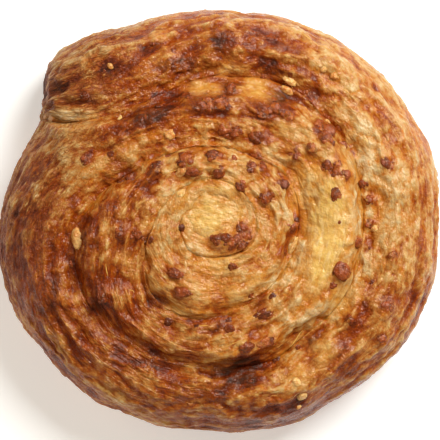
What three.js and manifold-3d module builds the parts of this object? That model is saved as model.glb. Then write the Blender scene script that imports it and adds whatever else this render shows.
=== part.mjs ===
// Cheese swirl: a sheet of layered dough rolled into a coil round a layer of cheese, cut across, laid flat
// and baked. The dough is one strip that runs from a blunt tail at the rim inwards to the middle, and the
// cheese is one band that stands between its turns and ends in a pool at the middle, the eye.
//
// Millimetres, +Z up, with the base on z = 0. A place along the coil is counted in turns from the tail,
// clockwise as seen from above. A place across the strip goes from 0 at its outer edge to 1 at its inner
// edge.

import * as THREE from 'three';
import { mergeVertices } from 'three/addons/utils/BufferGeometryUtils.js';
import Module from 'manifold-3d';

const wasm = await Module();
wasm.setup();

// The coil
const tailAngle = THREE.MathUtils.degToRad(150);
const stepsInTurn = [84, 54, 36, 22];
const coilStart = 0.006;
const coilEnd = 3.9;

// Radius of the outline at every sixteenth of a turn
const rimsPerTurn = 16;
const rimRadii = [
  49.1, 51.5, 53.1, 54.2, 56.4, 59.0, 61.2, 60.9,
  61.2, 59.1, 56.9, 55.2, 55.1, 54.7, 54.6, 52.0, 49.5,
];

// Low waves along the rim: how many in a turn
const rimUnevenness = 0.45;
const rimWaves = [7, 13, 21];

// Radius of the seam between one turn and the next at every eighth of a turn
const seamsPerTurn = 8;
const seamRadii = [
  30.2, 33.1, 38.3, 40.1, 40.6, 40.3, 38.8, 35.6,
  21.8, 17.8, 18.5, 23.0, 24.2, 26.5, 26.2, 14.8,
  10.1, 8.6, 8.9, 10.9, 13.6, 11.7, 10.4, 6.9, 3.4,
];

// The tail: its corner stands out from the outline, and the seam runs out to the rim under it
const tailRise = 6.6;
const tailReach = 0.042;
const tailFade = 0.05;
const tailOpening = 18.2;
const tailOpeningReach = 0.03;
const tailDrop = 5;
const tailDropReach = 0.02;
const tailSeamReach = 0.06;

// Heights
const domeHeight = 33;
const domeFall = 8;
const domeRadius = 54;
const coreDrop = 0.8;
const coreFrom = 3;
const coreBy = 3.4;
const bellyHeight = 11;
const footInset = 5;
const unevenness = 0.7;
const wavesPerTurn = [2.3, 3.7];

// Edges of the strip: the free outer edge rounds over a wide shoulder, and an edge on a seam has a short
// flank
const rimShoulder = 13;
const seamFlank = 4.5;
const flankShare = 0.8;
const seamDepth = 2;
const coveredFrom = 0.965;
const coveredBy = 1.02;

// Layers of the dough that stand as low ridges along the top
const layerSpacing = 4.2;
const layerHeight = 0.45;
const layerDrift = 2.5;
const driftsPerTurn = 1.7;

// Lumps that the dough has risen in: height, and how far apart they are for each radian of their waves
const lumpHeight = 0.8;
const lumpSpread = 2.6;
const lumpBend = 1.4;

// The slot between two turns, which the cheese fills but for a clearance
const slotHalf = 0.8;
const clearance = 0.3;
const fillingStart = 0.055;
const fillingEnd = 3;
const fillingSink = 0.4;
const fillingCrown = 0.5;
const eyeRadius = 4.3;
const eyeDepth = 3;
const eyeCrown = 1.2;
const eyeBend = 0.6;
const eyeSegments = 24;

// Places where the seam gapes: the slot is wider and deeper, and one side of it lies back as a long flank
const gapes = [
  { turn: 0.2, reach: 0.09, slot: 1, depth: 3, outerFlank: 0, innerFlank: 4 },
  { turn: 0.59, reach: 0.07, slot: 0.6, depth: 2.5, outerFlank: 5, innerFlank: 0 },
  { turn: 0.87, reach: 0.06, slot: 0, depth: 1, outerFlank: 2, innerFlank: 0 },
  { turn: 1.42, reach: 0.1, slot: 0.5, depth: 2.5, outerFlank: 6, innerFlank: 0 },
  { turn: 1.67, reach: 0.06, slot: 0, depth: 1, outerFlank: 2, innerFlank: 0 },
  { turn: 1.84, reach: 0.05, slot: 0, depth: 0.8, outerFlank: 2, innerFlank: 0 },
];

// Crumbs of cheese baked on to the top: turns from the tail, place across the strip, diameter
const crumbLift = 0.2;
const crumbFlatness = 0.8;
const crumbLength = 1.2;
const crumbSides = 6;
const crumbRings = 4;
const crumbs = [
  [0.373, 0.61, 2.7], [0.494, 0.42, 2.8], [1.155, 0.39, 2.8], [1.167, 0.41, 2.9],
  [1.181, 0.39, 2.8], [1.186, 0.32, 2.4], [1.194, 0.13, 2.9], [1.197, 0.82, 3], [1.216, 0.84, 2.9],
  [1.25, 0.38, 3.5], [1.256, 0.28, 2.7], [1.259, 0.82, 3], [1.277, 0.89, 2.6], [1.278, 0.32, 2.9],
  [1.31, 0.12, 2.8], [1.319, 0.71, 2.8], [1.322, 0.14, 3.4], [1.327, 0.19, 2.5],
  [1.328, 0.46, 2.4], [1.359, 0.42, 2.6], [1.374, 0.19, 2.4], [1.395, 0.44, 2.6],
  [1.448, 0.13, 2.8], [1.483, 0.19, 4.3], [1.588, 0.79, 3.2], [1.595, 0.19, 2.4],
  [1.602, 0.21, 2.9], [1.624, 0.27, 3], [1.854, 0.9, 2.8], [1.867, 0.84, 2.4], [1.879, 0.6, 2.8],
  [2.029, 0.2, 2.5], [2.1, 0.32, 3.5], [2.109, 0.73, 2.9], [2.183, 0.3, 3.2], [2.206, 0.73, 2.9],
  [2.288, 0.33, 2.5], [2.308, 0.81, 2.4], [2.357, 0.18, 2.4], [2.375, 0.63, 3.2],
  [2.442, 0.2, 2.5], [2.716, 0.33, 3.1], [2.744, 0.53, 3.1], [3.487, 0.45, 2.4],
  [3.506, 0.25, 2.5], [3.542, 0.26, 2.4], [3.571, 0.33, 2.5], [3.579, 0.67, 2.4],
  [3.622, 0.66, 2.5],
];

const { lerp, smoothstep, clamp } = THREE.MathUtils;

const curveOf = (radii) => new THREE.SplineCurve(radii.map((radius, i) => new THREE.Vector2(i, radius)));
const rimCurve = curveOf(rimRadii);
const seamCurve = curveOf(seamRadii);

function readCurve(curve, place) {
  const last = curve.points.length - 1;
  return curve.getPoint(clamp(place / last, 0, 1)).y;
}

// Sum of one size over the places where the seam gapes, each fading to both sides
function gape(turn, size) {
  const share = (place) => Math.exp(-(((turn - place.turn) / place.reach) ** 2));
  return gapes.reduce((sum, place) => sum + place[size] * share(place), 0);
}

function rimRadius(turn) {
  const past = Math.max(turn - tailReach, 0) / tailFade;
  const rise = tailRise * smoothstep(turn, 0, tailReach) * Math.exp(-(past ** 2));
  const fade = smoothstep(turn, 0, 0.1) * (1 - smoothstep(turn, 0.9, 1));
  const wave = rimWaves.reduce((sum, waves, i) => sum + Math.sin(2 * Math.PI * waves * turn + 2 * i), 0);
  return readCurve(rimCurve, turn * rimsPerTurn) + rise + (rimUnevenness * fade * wave) / rimWaves.length;
}

function seamRadius(turn) {
  const opening = tailOpening * Math.exp(-turn / tailOpeningReach);
  return readCurve(seamCurve, turn * seamsPerTurn) + opening;
}

const slotAt = (turn) => slotHalf + gape(turn, 'slot');
const outerRadius = (turn) => (turn < 1 ? rimRadius(turn) : seamRadius(turn - 1) - slotAt(turn - 1));
const innerRadius = (turn) => Math.max(seamRadius(turn) + slotAt(turn), eyeRadius);

// Height of the strip's crest: a dome over the whole swirl, uneven along the coil, low at the tail and a
// little lower in the last turn
function crestHeight(turn) {
  const middle = (outerRadius(turn) + innerRadius(turn)) / 2;
  const wave = wavesPerTurn.reduce((sum, waves, i) => sum + Math.sin(2 * Math.PI * waves * turn + i), 0);
  const tail = tailDrop * Math.exp(-turn / tailDropReach);
  const core = coreDrop * smoothstep(turn, coreFrom, coreBy);
  return domeHeight - domeFall * (middle / domeRadius) ** 2 + (unevenness * wave) / 2 - tail - core;
}

// Height of the seam's floor on the inner side of a turn, level with the crest where the tail begins
function floorHeight(turn) {
  const depth = seamDepth + gape(turn, 'depth');
  return crestHeight(turn) - depth * (1 - Math.exp(-turn / tailSeamReach));
}

// Share by which the outer edge of the strip is covered by the turn outside it
const covered = (turn) => smoothstep(turn, coveredFrom, coveredBy);

// All sizes of the strip's cross-section at one place along the coil
function sectionSizes(turn) {
  const outer = outerRadius(turn);
  const inner = innerRadius(turn);
  const seamSide = Math.max(turn - 1, 0);
  const outerFlank = lerp(rimShoulder, seamFlank + gape(seamSide, 'innerFlank'), covered(turn));
  const innerFlank = seamFlank + gape(turn, 'outerFlank');
  const fit = Math.min(1, (flankShare * (outer - inner)) / (outerFlank + innerFlank));
  return {
    outer,
    inner,
    crest: crestHeight(turn),
    outerEdge: lerp(bellyHeight, floorHeight(seamSide), covered(turn)),
    innerEdge: floorHeight(turn),
    outerFlank: outerFlank * fit,
    innerFlank: innerFlank * fit,
    foot: footInset * (1 - covered(turn)),
  };
}

// Lumps over the plan, from -1 to 1: two crossed waves, each bent by a slower one
function lumpAt(radius, turn) {
  const angle = tailAngle - 2 * Math.PI * turn;
  const [x, y] = [(radius * Math.cos(angle)) / lumpSpread, (radius * Math.sin(angle)) / lumpSpread];
  return Math.sin(x + lumpBend * Math.sin(0.6 * y)) * Math.sin(1.1 * y + lumpBend * Math.sin(0.7 * x));
}

// Height of the top at a distance from the strip's outer edge: a quarter ellipse up each flank, with ridges
// and lumps
function topHeight(sizes, distance, turn) {
  const fromInner = sizes.outer - sizes.inner - distance;
  const outerLift = Math.sqrt(1 - Math.max(1 - distance / sizes.outerFlank, 0) ** 2);
  const innerLift = Math.sqrt(1 - Math.max(1 - fromInner / sizes.innerFlank, 0) ** 2);
  const outerFall = (sizes.crest - sizes.outerEdge) * (1 - outerLift);
  const innerFall = (sizes.crest - sizes.innerEdge) * (1 - innerLift);
  const drift = layerDrift * Math.sin(2 * Math.PI * driftsPerTurn * turn);
  const ridge = layerHeight * Math.cos((2 * Math.PI * distance) / layerSpacing + drift);
  const lump = lumpHeight * lumpAt(sizes.outer - distance, turn);
  return sizes.crest - outerFall - innerFall + outerLift * innerLift * (ridge + lump);
}

// Cross-section of the dough, anticlockwise from its outer foot, as radius and height
const footSteps = 3;
const flankSteps = 5;
const middleSteps = 4;

function doughSection(turn) {
  const sizes = sectionSizes(turn);
  const width = sizes.outer - sizes.inner;
  const points = [];
  for (let i = 0; i < footSteps; i += 1) {
    const angle = (Math.PI / 2) * (i / footSteps);
    const radius = sizes.outer - sizes.foot * (1 - Math.sin(angle));
    points.push(new THREE.Vector2(radius, sizes.outerEdge * (1 - Math.cos(angle))));
  }
  for (let i = 0; i <= flankSteps; i += 1) {
    const distance = sizes.outerFlank * (1 - Math.cos((Math.PI / 2) * (i / flankSteps)));
    points.push(new THREE.Vector2(sizes.outer - distance, topHeight(sizes, distance, turn)));
  }
  for (let i = 1; i < middleSteps; i += 1) {
    const distance = lerp(sizes.outerFlank, width - sizes.innerFlank, i / middleSteps);
    points.push(new THREE.Vector2(sizes.outer - distance, topHeight(sizes, distance, turn)));
  }
  for (let i = flankSteps; i >= 0; i -= 1) {
    const distance = width - sizes.innerFlank * (1 - Math.cos((Math.PI / 2) * (i / flankSteps)));
    points.push(new THREE.Vector2(sizes.outer - distance, topHeight(sizes, distance, turn)));
  }
  points.push(new THREE.Vector2(sizes.inner, 0));
  return points;
}

// Cross-section of the cheese band: straight walls and a low crown just under the seam's floor
function fillingSection(turn) {
  const half = slotAt(turn) - clearance;
  const middle = seamRadius(turn);
  const top = floorHeight(turn) - fillingSink;
  return [
    new THREE.Vector2(middle + half, 0),
    new THREE.Vector2(middle + half, top),
    new THREE.Vector2(middle, top + fillingCrown),
    new THREE.Vector2(middle - half, top),
    new THREE.Vector2(middle - half, 0),
  ];
}

// A fan from the middle of an end section to its corners
function capEnd(positions, index, first, count, facesAhead) {
  const ring = positions.slice(first * 3, (first + count) * 3);
  const box = new THREE.Box3().setFromArray(ring);
  const hub = positions.length / 3;
  positions.push(...box.getCenter(new THREE.Vector3()));
  for (let j = 0; j < count; j += 1) {
    const [a, b] = [first + j, first + ((j + 1) % count)];
    index.push(hub, facesAhead ? a : b, facesAhead ? b : a);
  }
}

// A closed strip: one section at each place along the coil, joined by walls and capped at both ends
function coilGeometry(turns, sectionAt) {
  const positions = [];
  const index = [];
  const sections = turns.map(sectionAt);
  const count = sections[0].length;
  sections.forEach((section, i) => {
    const angle = tailAngle - 2 * Math.PI * turns[i];
    const [cosine, sine] = [Math.cos(angle), Math.sin(angle)];
    section.forEach((point) => positions.push(point.x * cosine, point.x * sine, point.y));
  });
  for (let i = 0; i < sections.length - 1; i += 1) {
    for (let j = 0; j < count; j += 1) {
      const next = (j + 1) % count;
      const [a, b] = [i * count + j, i * count + next];
      const [c, d] = [a + count, b + count];
      index.push(a, b, d, a, d, c);
    }
  }
  capEnd(positions, index, 0, count, false);
  capEnd(positions, index, (sections.length - 1) * count, count, true);
  const geometry = new THREE.BufferGeometry();
  geometry.setAttribute('position', new THREE.Float32BufferAttribute(positions, 3));
  geometry.setIndex(index);
  return geometry;
}

// Places along the coil, closer together in the outer turns than in the inner ones
function turnsBetween(start, end) {
  const turns = [start];
  stepsInTurn.forEach((steps, whole) => {
    for (let i = 0; i < steps; i += 1) {
      const turn = whole + i / steps;
      if (turn > start && turn <= end) turns.push(turn);
    }
  });
  return turns;
}

function solidOf(geometry) {
  const bare = geometry.clone();
  bare.deleteAttribute('normal');
  bare.deleteAttribute('uv');
  const merged = mergeVertices(bare, 1e-4);
  return new wasm.Manifold(new wasm.Mesh({
    numProp: 3,
    vertProperties: new Float32Array(merged.attributes.position.array),
    triVerts: new Uint32Array(merged.index.array),
  }));
}

function geometryOf(solid) {
  const mesh = solid.getMesh();
  const geometry = new THREE.BufferGeometry();
  geometry.setAttribute('position', new THREE.BufferAttribute(new Float32Array(mesh.vertProperties), 3));
  geometry.setIndex(new THREE.BufferAttribute(new Uint32Array(mesh.triVerts), 1));
  geometry.computeVertexNormals();
  return geometry;
}

// One crumb: a small faceted lump, a little flat, sunk into the top of the strip
function crumbGeometry([turn, across, diameter], i) {
  const sizes = sectionSizes(turn);
  const distance = across * (sizes.outer - sizes.inner);
  const angle = tailAngle - 2 * Math.PI * turn;
  const radius = sizes.outer - distance;
  const lump = new THREE.SphereGeometry(diameter / 2, crumbSides, crumbRings);
  lump.rotateX(Math.PI / 2);
  lump.scale(crumbLength, 1, crumbFlatness);
  lump.rotateZ(2 * i);
  const height = topHeight(sizes, distance, turn) + crumbLift * diameter;
  lump.translate(radius * Math.cos(angle), radius * Math.sin(angle), height);
  return lump;
}

function doughGeometry() {
  const strip = solidOf(coilGeometry(turnsBetween(coilStart, coilEnd), doughSection));
  const whole = crumbs.reduce((body, crumb, i) => body.add(solidOf(crumbGeometry(crumb, i))), strip);
  return geometryOf(whole);
}

// The pool of cheese at the middle, turned about the coil's axis, with a low crown
function eyeGeometry() {
  const radius = eyeRadius - clearance;
  const height = domeHeight - eyeDepth;
  const profile = [
    new THREE.Vector2(0, 0),
    new THREE.Vector2(radius, 0),
    new THREE.Vector2(radius, height),
    new THREE.Vector2(radius * eyeBend, height + eyeCrown * (1 - eyeBend ** 2)),
    new THREE.Vector2(0, height + eyeCrown),
  ];
  return new THREE.LatheGeometry(profile, eyeSegments).rotateX(Math.PI / 2);
}

function fillingGeometry() {
  const band = solidOf(coilGeometry(turnsBetween(fillingStart, fillingEnd), fillingSection));
  return geometryOf(band.add(solidOf(eyeGeometry())));
}

const crustMaterial = new THREE.MeshStandardMaterial({ color: '#b06f31', roughness: 0.6, metalness: 0 });
const cheeseMaterial = new THREE.MeshStandardMaterial({ color: '#dfae58', roughness: 0.5, metalness: 0 });

const dough = new THREE.Mesh(doughGeometry(), crustMaterial);
dough.name = 'dough';

const filling = new THREE.Mesh(fillingGeometry(), cheeseMaterial);
filling.name = 'cheese_filling';

// The origin is under the middle of the outline, on the base
dough.geometry.computeBoundingBox();
const middle = dough.geometry.boundingBox.getCenter(new THREE.Vector3());

const cheeseSwirl = new THREE.Group();
cheeseSwirl.position.set(-middle.x, -middle.y, 0);
cheeseSwirl.add(dough, filling);

export default cheeseSwirl;
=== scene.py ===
import bpy
import numpy as np
from mathutils import Matrix, Vector


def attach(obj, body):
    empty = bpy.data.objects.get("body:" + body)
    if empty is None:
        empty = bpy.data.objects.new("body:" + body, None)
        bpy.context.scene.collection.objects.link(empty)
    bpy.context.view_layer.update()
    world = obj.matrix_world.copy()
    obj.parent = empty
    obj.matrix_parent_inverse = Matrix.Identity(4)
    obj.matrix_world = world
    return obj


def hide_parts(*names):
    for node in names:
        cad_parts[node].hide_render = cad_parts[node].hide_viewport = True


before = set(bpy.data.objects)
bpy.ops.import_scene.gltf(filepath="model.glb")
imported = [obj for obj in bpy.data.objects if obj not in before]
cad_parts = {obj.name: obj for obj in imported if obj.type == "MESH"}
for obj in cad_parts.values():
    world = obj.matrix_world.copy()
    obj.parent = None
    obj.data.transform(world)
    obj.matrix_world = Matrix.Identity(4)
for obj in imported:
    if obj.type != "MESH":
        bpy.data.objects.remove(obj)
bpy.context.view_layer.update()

mm = 0.001


# Noise

# a number from 0 to 1 for each whole lattice point, by mixing the bits of its three indices
def hashed(ix, iy, iz, seed):
    h = ix.astype(np.uint32) * np.uint32(374761393) + iy.astype(np.uint32) * np.uint32(668265263)
    h = h + iz.astype(np.uint32) * np.uint32(2246822519) + np.uint32(seed * 40503 + 977)
    h = (h ^ (h >> np.uint32(13))) * np.uint32(1274126177)
    h = (h ^ (h >> np.uint32(15))) * np.uint32(2654435761)
    return ((h ^ (h >> np.uint32(16))) & np.uint32(0xffffff)) / float(0xffffff)


# value noise from 0 to 1: the lattice numbers blended with a quintic fade along each axis
def noise(x, y, z=0.0, seed=0):
    x, y, z = np.broadcast_arrays(x, y, z)
    ix, iy, iz = (np.floor(v).astype(np.int64) for v in (x, y, z))
    fx, fy, fz = x - ix, y - iy, z - iz
    fx, fy, fz = (f ** 3 * (f * (f * 6 - 15) + 10) for f in (fx, fy, fz))
    total = 0.0
    for cx in (0, 1):
        for cy in (0, 1):
            for cz in (0, 1):
                share = (fx if cx else 1 - fx) * (fy if cy else 1 - fy) * (fz if cz else 1 - fz)
                total = total + share * hashed(ix + cx, iy + cy, iz + cz, seed)
    return total


# octaves of value noise, each twice as fine and half as strong, about 0 to 1
def layered(x, y, z=0.0, octaves=3, seed=0):
    total, weight = 0.0, 0.0
    for k in range(octaves):
        total = total + noise(x * 2 ** k, y * 2 ** k, z * 2 ** k, seed + 7 * k) / 2 ** k
        weight += 1 / 2 ** k
    return total / weight


# thin wandering lines: 1 where value noise crosses a half, falling off to both sides
def lines(x, y, z=0.0, sharp=4.0, seed=0):
    return (1 - np.abs(2 * noise(x, y, z, seed) - 1)) ** sharp


# distance to the nearest of one scattered point per lattice cell
def cells(x, y, z, seed=0):
    ix, iy, iz = (np.floor(v).astype(np.int64) for v in (x, y, z))
    best = np.full(np.broadcast(x, y, z).shape, 9.0)
    for dx in (-1, 0, 1):
        for dy in (-1, 0, 1):
            for dz in (-1, 0, 1):
                jx, jy, jz = ix + dx, iy + dy, iz + dz
                px = jx + hashed(jx, jy, jz, seed)
                py = jy + hashed(jx, jy, jz, seed + 1)
                pz = jz + hashed(jx, jy, jz, seed + 2)
                best = np.minimum(best, (px - x) ** 2 + (py - y) ** 2 + (pz - z) ** 2)
    return np.sqrt(best)


# 0 below low, 1 above high, and a soft S between them
def smooth(value, low, high):
    f = np.clip((value - low) / (high - low), 0, 1)
    return f * f * (3 - 2 * f)


# Coil: millimetres, with places along it in turns from the tail, clockwise from above

coil = {
    "tailAngle": np.radians(150), "start": 0.006, "end": 3.9,
    # radius of the outline at every sixteenth of a turn, with low waves, so many in a turn
    "rimsPerTurn": 16, "rimUnevenness": 0.45, "rimWaves": [7, 13, 21],
    "rimRadii": [49.1, 51.5, 53.1, 54.2, 56.4, 59.0, 61.2, 60.9,
                 61.2, 59.1, 56.9, 55.2, 55.1, 54.7, 54.6, 52.0, 49.5],
    # radius of the seam between turns at every eighth of a turn, and how it wanders
    "seamsPerTurn": 8, "seamWander": 2.0, "wandersPerTurn": 20,
    "seamRadii": [30.2, 33.1, 38.3, 40.1, 40.6, 40.3, 38.8, 35.6,
                  21.8, 17.8, 18.5, 23.0, 24.2, 26.5, 26.2, 14.8,
                  10.1, 8.6, 8.9, 10.9, 13.6, 11.7, 10.4, 6.9, 3.4],
    # the tail: its corner stands out from the outline, and the seam runs out to the rim under it
    "tailRise": 6.6, "tailReach": 0.042, "tailFade": 0.05, "tailSeam": 0.06,
    "tailOpening": 18.2, "tailOpeningReach": 0.03, "tailDrop": 5.0, "tailDropReach": 0.02,
    # heights
    "domeHeight": 33.0, "domeFall": 8.0, "domeRadius": 54.0,
    "coreDrop": 0.8, "coreFrom": 3.0, "coreBy": 3.4,
    "bellyHeight": 11.0, "footInset": 5.0, "unevenness": 0.7, "wavesPerTurn": [2.3, 3.7],
    # edges of the strip: the free outer edge has a wide shoulder, and an edge on a seam a short flank
    "rimShoulder": 13.0, "seamFlank": 4.5, "seamDepth": 1.0, "joined": 0.35,
    "coveredFrom": 0.965, "coveredBy": 1.02, "eyeRadius": 4.3, "eyeDepth": 0.8,
    # the seams of the inner turns are shallower, by this share
    "shallow": 0.75, "shallowFrom": 1.5, "shallowBy": 1.7,
    # how steep the sides get where the seam gapes, from the first depth to the second
    "steep": 0.35, "steepFrom": 0.9, "steepBy": 2.4,
    # where the seam gapes, and what is added to its width, its depth and the flanks beside it
    "gapes": [
        {"turn": 0.2, "reach": 0.09, "slot": 0.3, "depth": 2.4, "outerFlank": 4, "innerFlank": 5},
        {"turn": 0.59, "reach": 0.07, "slot": 0.3, "depth": 2.2, "outerFlank": 5, "innerFlank": 0},
        {"turn": 0.87, "reach": 0.06, "slot": 0.0, "depth": 0.5, "outerFlank": 2, "innerFlank": 0},
        {"turn": 1.42, "reach": 0.08, "slot": 0.3, "depth": 2.6, "outerFlank": 6, "innerFlank": 0},
        {"turn": 1.67, "reach": 0.06, "slot": 0.0, "depth": 0.5, "outerFlank": 2, "innerFlank": 0},
        {"turn": 1.84, "reach": 0.05, "slot": 0.0, "depth": 0.4, "outerFlank": 2, "innerFlank": 0},
    ],
}


# Catmull-Rom curve through evenly spaced values
def spline(values, place):
    v = np.array(values, float)
    u = np.clip(place, 0, len(v) - 1)
    i = np.minimum(np.floor(u).astype(int), len(v) - 2)
    f = u - i
    a, b, c, d = (v[np.clip(i + k, 0, len(v) - 1)] for k in (-1, 0, 1, 2))
    return b + 0.5 * f * (c - a + f * (2 * a - 5 * b + 4 * c - d + f * (3 * (b - c) + d - a)))


# sum of one size over the gaping places, each a bell curve along the seam
def gape(turn, size):
    total = 0.0
    for place in coil["gapes"]:
        total = total + place[size] * np.exp(-((turn - place["turn"]) / place["reach"]) ** 2)
    return total


# radius of the outline: the curve through its radii with low waves, and a rise at the tail's corner
def rimRadius(turn):
    past = np.maximum(turn - coil["tailReach"], 0) / coil["tailFade"]
    rise = coil["tailRise"] * smooth(turn, 0, coil["tailReach"]) * np.exp(-past ** 2)
    fade = smooth(turn, 0, 0.1) * (1 - smooth(turn, 0.9, 1))
    wave = sum(np.sin(2 * np.pi * waves * turn + 2 * i) for i, waves in enumerate(coil["rimWaves"]))
    uneven = coil["rimUnevenness"] * fade * wave / len(coil["rimWaves"])
    return spline(coil["rimRadii"], turn * coil["rimsPerTurn"]) + rise + uneven


# radius of the seam on a turn's inner side: the curve through its radii, wandering, and opening at the tail
def seamRadius(turn):
    opening = coil["tailOpening"] * np.exp(-turn / coil["tailOpeningReach"])
    radius = spline(coil["seamRadii"], turn * coil["seamsPerTurn"])
    wander = coil["seamWander"] * (layered(turn * coil["wandersPerTurn"], 0.5, 0, 2, 33) - 0.5)
    wander = wander * smooth(turn, 0.05, 0.1) * np.minimum(radius / 30, 1)  # none at the tail, less inside
    return radius + opening + wander


# half the seam's width: neighbouring turns overlap a little where they have joined
def slotAt(turn):
    return gape(turn, "slot") - coil["joined"]


# the strip's outer edge: the outline in the first turn, then the seam of the turn outside it
def outerRadius(turn):
    seamSide = np.maximum(turn - 1, 0)
    return np.where(turn < 1, rimRadius(np.minimum(turn, 1)), seamRadius(seamSide) - slotAt(seamSide))


def innerRadius(turn):
    return np.maximum(seamRadius(turn) + slotAt(turn), coil["eyeRadius"])


# height of the crest: a dome over the whole swirl with slow waves along the coil, low at the tail
def crestHeight(turn):
    middle = (outerRadius(turn) + innerRadius(turn)) / 2
    wave = sum(np.sin(2 * np.pi * waves * turn + i) for i, waves in enumerate(coil["wavesPerTurn"]))
    tail = coil["tailDrop"] * np.exp(-turn / coil["tailDropReach"])
    dome = coil["domeHeight"] - coil["domeFall"] * (middle / coil["domeRadius"]) ** 2
    core = coil["coreDrop"] * smooth(turn, coil["coreFrom"], coil["coreBy"])
    return dome + coil["unevenness"] * wave / 2 - tail - core


# the seam's floor, level with the crest where the tail lies on the turn below it
def floorHeight(turn):
    shallow = coil["shallow"] * smooth(turn, coil["shallowFrom"], coil["shallowBy"])
    fade = (1 - np.exp(-turn / coil["tailSeam"])) * (1 - shallow)
    return crestHeight(turn) - (coil["seamDepth"] + gape(turn, "depth")) * fade


# 0 where the turns have baked together in a soft valley, more where the seam stands open with steep sides
def openSeam(turn):
    return coil["steep"] * smooth(gape(turn, "depth"), coil["steepFrom"], coil["steepBy"])


# share by which a turn's outer edge is covered by the turn outside it
def covered(turn):
    return smooth(turn, coil["coveredFrom"], coil["coveredBy"])


# the coil's axis in the frame: the outline's box is centred on the origin
def coilAxis():
    turn = np.linspace(0, 1, 2000)
    angle = coil["tailAngle"] - 2 * np.pi * turn
    x, y = rimRadius(turn) * np.cos(angle), rimRadius(turn) * np.sin(angle)
    return -(x.max() + x.min()) / 2, -(y.max() + y.min()) / 2


axisX, axisY = coilAxis()


# places along the coil at even steps of length, with that length
def coilPath(start, end, step):
    fine = np.linspace(start, end, 8000)
    middle = (outerRadius(fine) + innerRadius(fine)) / 2
    length = np.concatenate([[0], np.cumsum(2 * np.pi * (middle[1:] + middle[:-1]) / 2 * np.diff(fine))])
    along = np.linspace(0, length[-1], int(length[-1] / step))
    return np.interp(along, length, fine), along


# points in the frame from a turn, a radius from the coil's axis and a height
def inPlan(turn, radius, height):
    angle = coil["tailAngle"] - 2 * np.pi * turn
    return np.stack([axisX + radius * np.cos(angle), axisY + radius * np.sin(angle), height], -1)


# Mesh making

# faces of a grid of rows joined to rings, with one point closing each end
def tubeFaces(rows, ring):
    i, j = np.meshgrid(np.arange(rows - 1), np.arange(ring), indexing="ij")
    a, b = i * ring + j, i * ring + (j + 1) % ring
    quads = np.stack([a, b, b + ring, a + ring], -1).reshape(-1, 4)
    k = np.arange(ring)
    first = np.stack([np.full(ring, rows * ring), (k + 1) % ring, k], -1)
    last = (rows - 1) * ring
    final = np.stack([np.full(ring, rows * ring + 1), last + k, last + (k + 1) % ring], -1)
    return quads, np.concatenate([first, final])


# a mesh object from points in millimetres, quads and triangles, smooth shaded, with named point attributes
def meshPiece(name, points, quads, triangles, attributes, uv=None):
    mesh = bpy.data.meshes.new(name)
    corners = np.concatenate([quads.ravel(), triangles.ravel()]).astype(np.int32)
    sizes = np.concatenate([np.full(len(quads), 4), np.full(len(triangles), 3)]).astype(np.int32)
    mesh.vertices.add(len(points))
    mesh.vertices.foreach_set("co", (points * mm).astype(np.float32).ravel())
    mesh.loops.add(len(corners))
    mesh.loops.foreach_set("vertex_index", corners)
    mesh.polygons.add(len(sizes))
    mesh.polygons.foreach_set("loop_start", np.concatenate([[0], np.cumsum(sizes)[:-1]]).astype(np.int32))
    mesh.update(calc_edges=True)
    mesh.polygons.foreach_set("use_smooth", np.ones(len(sizes), bool))
    for key, values in attributes.items():
        layer = mesh.attributes.new(key, "FLOAT", "POINT")
        layer.data.foreach_set("value", np.ascontiguousarray(values, np.float32).ravel())
    if uv is not None:
        layer = mesh.uv_layers.new(name="coil")
        layer.data.foreach_set("uv", uv[corners].astype(np.float32).ravel())
    mesh.validate()
    piece = bpy.data.objects.new(name, mesh)
    bpy.context.scene.collection.objects.link(piece)
    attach(piece, "root")
    return piece


# a field in the order of a tube's points: its grid, then the mean of each end row for the two poles
def withPoles(field):
    return np.concatenate([field.ravel(), [field[0].mean(), field[-1].mean()]])


# the piece stands for a solid, whose part is hidden, and wears a material
def dress(piece, node, paint):
    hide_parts(node)
    piece.data.materials.append(paint)


# unit normals of a grid that is closed along its rings
def gridNormals(points):
    along = np.gradient(points, axis=0)
    wide = np.concatenate([points[:, -1:], points, points[:, :1]], 1)
    around = (wide[:, 2:] - wide[:, :-2]) / 2
    normal = np.cross(around, along)
    return normal / np.maximum(np.linalg.norm(normal, axis=-1, keepdims=True), 1e-9)


# Crumbs

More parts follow.
